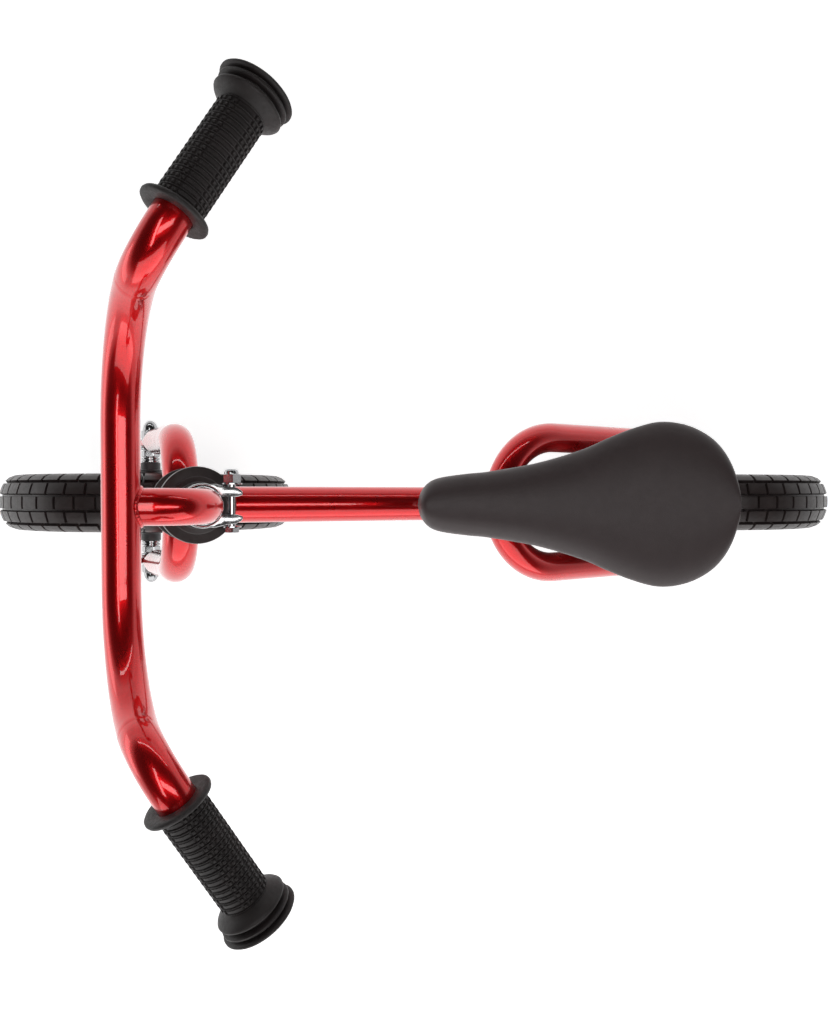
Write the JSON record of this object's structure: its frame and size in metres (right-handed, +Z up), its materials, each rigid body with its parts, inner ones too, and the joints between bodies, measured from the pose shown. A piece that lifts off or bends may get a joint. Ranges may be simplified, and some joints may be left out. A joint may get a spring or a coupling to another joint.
{
  "type": "child's balance bike",
  "caption": "Pedal-less child's balance bike: looped steel frame, bent-tube fork, riser handlebar with padded grips, long padded saddle and treaded tyres.",
  "frame": {"origin": "on the ground, half way between the two axles, in the bike's middle plane", "axes": "+X forward, +Y to the rider's left, +Z up"},
  "size_m": [0.862, 0.5258, 0.6195],
  "materials": {
    "red_paint": "candy-red metallic paint under a clear gloss coat",
    "chrome": "bright plated steel",
    "black_plastic": "satin moulded plastic",
    "grey_plastic": "satin moulded plastic",
    "grip_rubber": "matte soft rubber",
    "tyre_rubber": "satin moulded tread",
    "saddle_cover": "matte skin over soft foam"
  },
  "bodies": {
    "frame": {"head_tube": "red_paint", "main_tube": "red_paint", "seat_tube": "red_paint", "rear_loop": "red_paint", "rear_dropout_left": "red_paint", "rear_dropout_right": "red_paint", "headset_bushing_upper": "black_plastic", "headset_bushing_lower": "black_plastic", "seat_collar": "chrome", "seat_collar_bolt": "chrome", "rear_axle": "chrome", "rear_axle_spacer_left": "grey_plastic", "rear_lock_nut_left": "chrome", "rear_axle_washer_left": "chrome", "rear_axle_nut_left": "chrome", "rear_axle_spacer_right": "grey_plastic", "rear_lock_nut_right": "chrome", "rear_axle_washer_right": "chrome", "rear_axle_nut_right": "chrome"},
    "steering": {"fork": "red_paint", "steerer_tube": "chrome", "fork_dropout_left": "red_paint", "fork_dropout_right": "red_paint", "stem_clamp": "chrome", "stem_clamp_bolt": "chrome", "stem_clamp_nut": "chrome", "front_axle": "chrome", "front_axle_spacer_left": "grey_plastic", "front_lock_nut_left": "chrome", "front_axle_washer_left": "chrome", "front_axle_nut_left": "chrome", "front_axle_spacer_right": "grey_plastic", "front_lock_nut_right": "chrome", "front_axle_washer_right": "chrome", "front_axle_nut_right": "chrome"},
    "bars": {"handlebar": "red_paint", "handlebar_stem": "red_paint", "grip_left": "grip_rubber", "grip_right": "grip_rubber"},
    "front_wheel": {"front_tyre": "tyre_rubber", "front_rim": "black_plastic", "front_bearing_left": "chrome", "front_bearing_right": "chrome"},
    "rear_wheel": {"rear_tyre": "tyre_rubber", "rear_rim": "black_plastic", "rear_bearing_left": "chrome", "rear_bearing_right": "chrome"},
    "post": {"seat_post": "chrome", "seat_clamp_core": "chrome", "saddle_clamp_bolt": "chrome", "saddle_clamp_nut": "chrome"},
    "saddle": {"saddle_cover": "saddle_cover", "saddle_base": "black_plastic", "saddle_rail": "chrome", "saddle_clamp_jaw_left": "chrome", "saddle_clamp_jaw_right": "chrome"}
  },
  "joints": [
    {"name": "steering_turn", "type": "hinge", "parent": "frame", "child": "steering", "pos_m": [0.196, 0, 0.43], "axis": [-0.2588, 0, 0.9659], "continuous": true},
    {"name": "handlebar_height", "type": "slide", "parent": "steering", "child": "bars", "axis": [-0.2588, 0, 0.9659], "range_m": [0, 0.05]},
    {"name": "front_wheel_spin", "type": "hinge", "parent": "steering", "child": "front_wheel", "pos_m": [0.285, 0, 0.146], "axis": [0, 1, 0], "continuous": true},
    {"name": "rear_wheel_spin", "type": "hinge", "parent": "frame", "child": "rear_wheel", "pos_m": [-0.285, 0, 0.146], "axis": [0, 1, 0], "continuous": true},
    {"name": "saddle_height", "type": "slide", "parent": "frame", "child": "post", "axis": [-0.3746, 0, 0.9272], "range_m": [0, 0.07]},
    {"name": "saddle_tilt", "type": "hinge", "parent": "post", "child": "saddle", "pos_m": [-0.12095, 0, 0.37739], "axis": [0, 1, 0], "range_deg": [-8, 8]}
  ]
}
